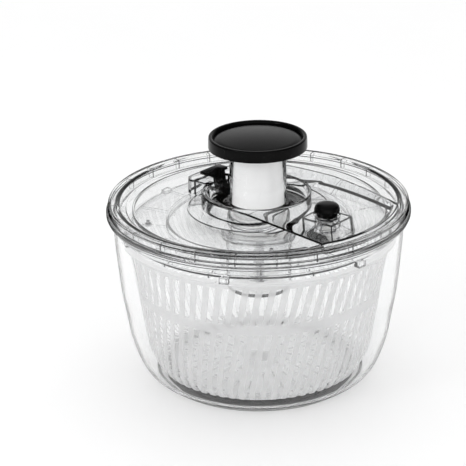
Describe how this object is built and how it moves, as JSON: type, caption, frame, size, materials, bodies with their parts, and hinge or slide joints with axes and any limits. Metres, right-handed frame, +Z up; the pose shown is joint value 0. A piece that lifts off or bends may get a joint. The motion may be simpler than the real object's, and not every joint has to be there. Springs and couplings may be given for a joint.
{
  "type": "salad spinner",
  "caption": "Clear salad spinner with a slotted basket, a press knob on a twisted spindle, a brake button and a lock lever on its lid.",
  "frame": {"origin": "on the bowl's axis, on the surface the spinner stands on", "axes": "+Z up along the bowl's axis; the line through lock, knob and brake is turned 41 degrees clockwise from +X"},
  "size_m": [0.265, 0.265, 0.22],
  "materials": {
    "clear_bowl": "clear, polished",
    "clear_lid": "clear, polished",
    "clear_rotor": "clear, polished",
    "clear_tube": "clear, polished",
    "frosted_basket": "translucent, lightly frosted",
    "black_rubber": "matt",
    "black_plastic": "satin gloss",
    "white_acetal": "satin",
    "satin_sleeve": "satin, silver white",
    "spindle_steel": "bright",
    "spring_steel": "bright wire",
    "screw_steel": "bright"
  },
  "bodies": {
    "bowl": {"bowl": "clear_bowl", "non_slip_ring": "black_rubber"},
    "basket": {"basket": "frosted_basket"},
    "lid": {"lid_shell": "clear_lid", "lid_underplate": "clear_lid", "underplate_screws": "screw_steel", "knob_well": "clear_lid", "plunger_guide": "clear_lid", "retaining_clip": "screw_steel", "brake_housing": "clear_lid", "brake_spring": "spring_steel", "lock_housing": "clear_lid", "lock_pin": "screw_steel"},
    "plunger": {"knob_cap": "black_plastic", "knob_core": "black_plastic", "knob_screws": "screw_steel", "plunger_tube": "clear_tube", "plunger_sleeve": "satin_sleeve", "helix_nut": "white_acetal", "return_spring": "spring_steel"},
    "spindle": {"twisted_spindle": "spindle_steel", "spring_seat": "white_acetal", "pawl_carrier": "white_acetal", "drive_pawls": "black_plastic"},
    "rotor": {"drive_disc": "clear_rotor", "rotor_bearing": "white_acetal", "ratchet_ring": "white_acetal", "clutch_cover": "white_acetal"},
    "brake": {"brake_button": "black_plastic", "brake_stem": "white_acetal", "brake_pad": "black_rubber"},
    "lock": {"lock_lever": "black_plastic"}
  },
  "joints": [
    {"name": "lid_lift", "type": "slide", "parent": "bowl", "child": "lid", "axis": [0, 0, 1], "range_m": [0, 0.2]},
    {"name": "knob_press", "type": "slide", "parent": "lid", "child": "plunger", "axis": [0, 0, 1], "range_m": [-0.046, 0], "stiffness_N_per_m": 180, "springref_m": 0.02, "deforming": ["return_spring"]},
    {"name": "spindle_turn", "type": "hinge", "parent": "lid", "child": "spindle", "pos_m": [0, 0, 0.1], "axis": [0, 0, 1], "range_deg": [0, 760]},
    {"name": "disc_turn", "type": "hinge", "parent": "lid", "child": "rotor", "pos_m": [0, 0, 0.14], "axis": [0, 0, 1], "continuous": true},
    {"name": "basket_turn", "type": "hinge", "parent": "bowl", "child": "basket", "pos_m": [0, 0, 0.015], "axis": [0, 0, 1], "continuous": true},
    {"name": "brake_press", "type": "slide", "parent": "lid", "child": "brake", "axis": [0, 0, 1], "range_m": [-0.0032, 0], "stiffness_N_per_m": 400, "springref_m": 0.003, "deforming": ["brake_spring"]},
    {"name": "lock_tilt", "type": "hinge", "parent": "lid", "child": "lock", "pos_m": [-0.03314, 0.03809, 0.1565], "axis": [0.6561, 0.7547, 0], "range_deg": [0, 11]}
  ],
  "couplings": [
    {"joint": "spindle_turn", "follows": "knob_press", "rad_per_m": -275.58},
    {"joint": "basket_turn", "follows": "disc_turn", "ratio": 1}
  ]
}
